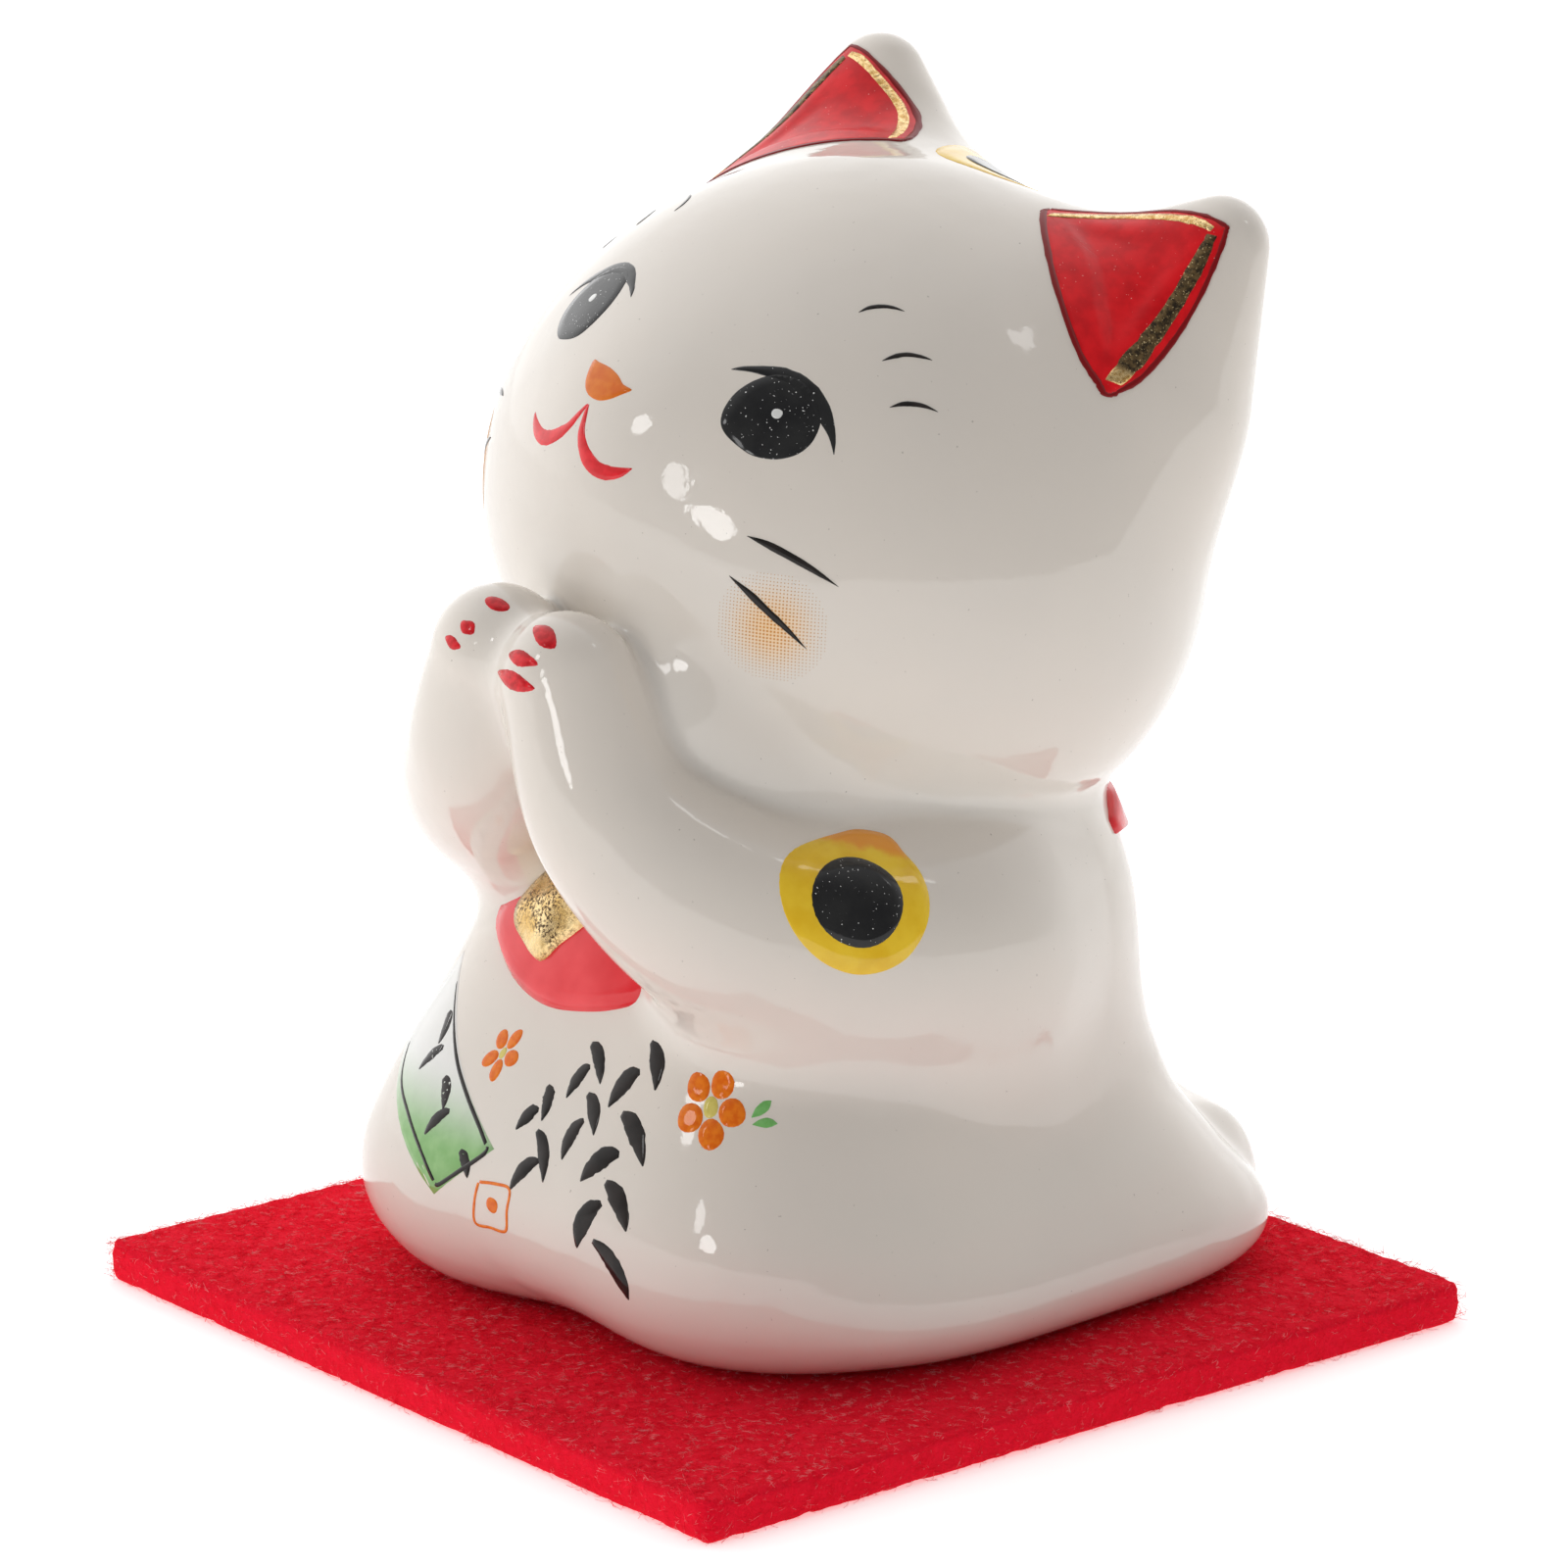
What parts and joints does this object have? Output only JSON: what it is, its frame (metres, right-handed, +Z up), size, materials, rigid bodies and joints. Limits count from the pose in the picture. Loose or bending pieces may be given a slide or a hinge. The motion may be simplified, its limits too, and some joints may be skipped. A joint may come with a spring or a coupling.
{
  "type": "beckoning cat figurine",
  "caption": "Seated ceramic cat with raised paws, tilted head, red bib and bell, resting on a square felt mat.",
  "frame": {"origin": "centre of the felt mat's underside", "axes": "+Z up, -Y is the way the cat faces, +X is the cat's left"},
  "size_m": [0.07, 0.07, 0.0888],
  "materials": {
    "red_felt": "pressed craft felt",
    "white_glaze": "glossy clear glaze over warm white earthenware",
    "red_enamel": "glossy hand-painted red enamel",
    "gold_lustre": "bright gold lustre with a dark speckle",
    "orange_enamel": "glossy orange transfer print",
    "blush_print": "orange halftone dots that fade outwards",
    "yellow_enamel": "glossy yellow enamel",
    "green_enamel": "green transfer print that fades to white",
    "black_enamel": "black transfer print with pinholes"
  },
  "bodies": {
    "mat": {"felt_mat": "red_felt"},
    "figurine": {"torso": "white_glaze", "head": "white_glaze", "left_arm": "white_glaze", "right_arm": "white_glaze", "tail": "white_glaze", "bib": "red_enamel", "bell": "gold_lustre", "collar": "red_enamel", "left_ear_lining": "red_enamel", "right_ear_lining": "red_enamel", "left_ear_gilding": "gold_lustre", "right_ear_gilding": "gold_lustre", "left_eye": "black_enamel", "right_eye": "black_enamel", "nose": "orange_enamel", "mouth": "red_enamel", "left_whiskers": "black_enamel", "right_whiskers": "black_enamel", "left_brow_marks": "black_enamel", "right_brow_marks": "black_enamel", "left_cheek_blush": "blush_print", "right_cheek_blush": "blush_print", "left_claws": "red_enamel", "right_claws": "red_enamel", "arm_spot": "yellow_enamel", "arm_spot_centre": "black_enamel", "head_spot": "yellow_enamel", "head_spot_centre": "black_enamel", "large_flower": "orange_enamel", "large_flower_centre": "yellow_enamel", "flower_leaves": "green_enamel", "small_flower": "orange_enamel", "small_flower_centre": "yellow_enamel", "tag_panel": "green_enamel", "tag_outline": "black_enamel", "seal": "orange_enamel", "brush_strokes": "black_enamel"}
  },
  "joints": [
    {"name": "figurine_lift", "type": "slide", "parent": "mat", "child": "figurine", "axis": [0, 0, 1], "range_m": [0, 0.05]}
  ]
}
